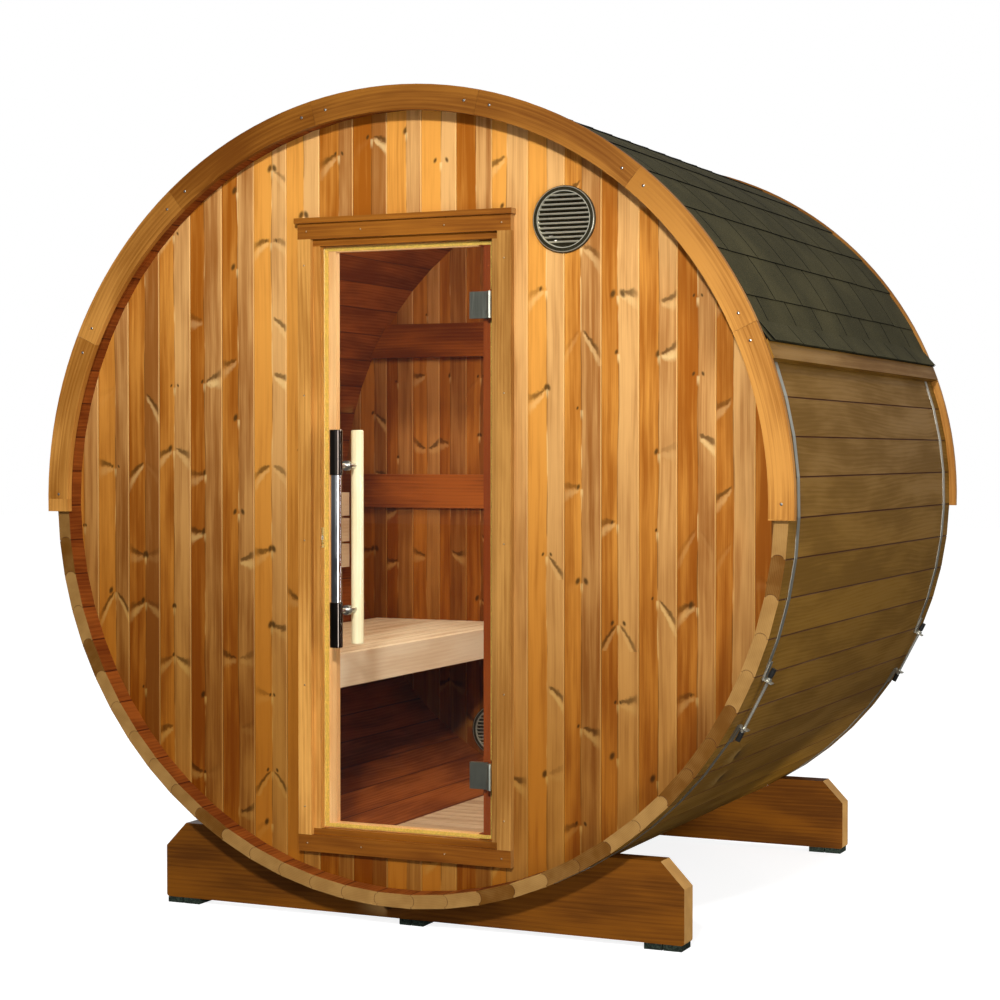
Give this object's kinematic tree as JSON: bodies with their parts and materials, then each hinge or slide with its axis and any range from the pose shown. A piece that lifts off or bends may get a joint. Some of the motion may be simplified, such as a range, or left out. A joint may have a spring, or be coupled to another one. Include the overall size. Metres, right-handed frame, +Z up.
{
  "type": "barrel sauna",
  "caption": "Barrel sauna cabin of bead-and-cove staves on cradles, with plank end walls, a hinged glass door, a bench inside and a shingled roof.",
  "frame": {"origin": "on the floor under the middle of the barrel, at the bottom centre of the box", "axes": "+Z up, +X to the right of someone facing the door, +Y from the door to the rear"},
  "size_m": [2.1199, 1.731, 2.1639],
  "materials": {
    "stave_wood": "heat-treated pine, oiled, olive brown",
    "wall_wood": "heat-treated pine boards, satin oil, honey brown",
    "frame_wood": "planed heat-treated pine, satin oil",
    "barge_wood": "planed heat-treated pine, satin oil",
    "cradle_wood": "sawn heat-treated pine",
    "bench_wood": "planed pale aspen, bare",
    "grip_wood": "turned pale aspen, bare",
    "shingle_felt": "bitumen shingle with dark green-grey mineral granules",
    "door_glass": "clear toughened glass",
    "gasket_rubber": "pale amber seal",
    "hinge_steel": "satin",
    "pull_chrome": "polished",
    "band_steel": "stainless strap",
    "cap_plastic": "black",
    "vent_metal": "dark bronze",
    "catch_steel": "satin",
    "foot_rubber": "black-green granulate pad"
  },
  "bodies": {
    "cabin": {"staves_bottom": "stave_wood", "staves_lower_right": "stave_wood", "staves_upper_right": "stave_wood", "staves_top": "stave_wood", "staves_upper_left": "stave_wood", "staves_lower_left": "stave_wood", "front_wall_left": "wall_wood", "front_wall_right": "wall_wood", "front_wall_over_door": "wall_wood", "front_wall_under_door": "wall_wood", "rear_wall": "wall_wood", "rear_ledgers": "wall_wood", "door_jambs": "frame_wood", "door_head": "frame_wood", "door_bottom_rail": "frame_wood", "door_side_stops": "frame_wood", "door_cross_stops": "frame_wood", "door_gasket": "gasket_rubber", "door_casings": "frame_wood", "door_lintel": "frame_wood", "door_sill_board": "frame_wood", "drip_cap": "frame_wood", "roller_catch": "catch_steel", "hinge_leaves": "hinge_steel", "vents": "vent_metal", "front_barge_boards": "barge_wood", "rear_barge_boards": "barge_wood", "bands": "band_steel", "tensioners": "band_steel", "tensioner_caps": "cap_plastic", "roof_shingles": "shingle_felt", "eave_battens": "barge_wood", "cradles": "cradle_wood", "rubber_feet": "foot_rubber", "bench_slats": "bench_wood", "bench_fascia": "bench_wood", "bench_frame": "wall_wood", "backrest_slats": "bench_wood", "duckboard": "bench_wood"},
    "door": {"door_glass": "door_glass", "door_pull": "pull_chrome", "door_grip": "grip_wood", "pull_standoffs": "hinge_steel", "hinge_clamps": "hinge_steel"}
  },
  "joints": [
    {"name": "door_hinge", "type": "hinge", "parent": "cabin", "child": "door", "pos_m": [0.2414, -0.7995, 1.0075], "axis": [0, 0, 1], "range_deg": [0, 105]}
  ]
}
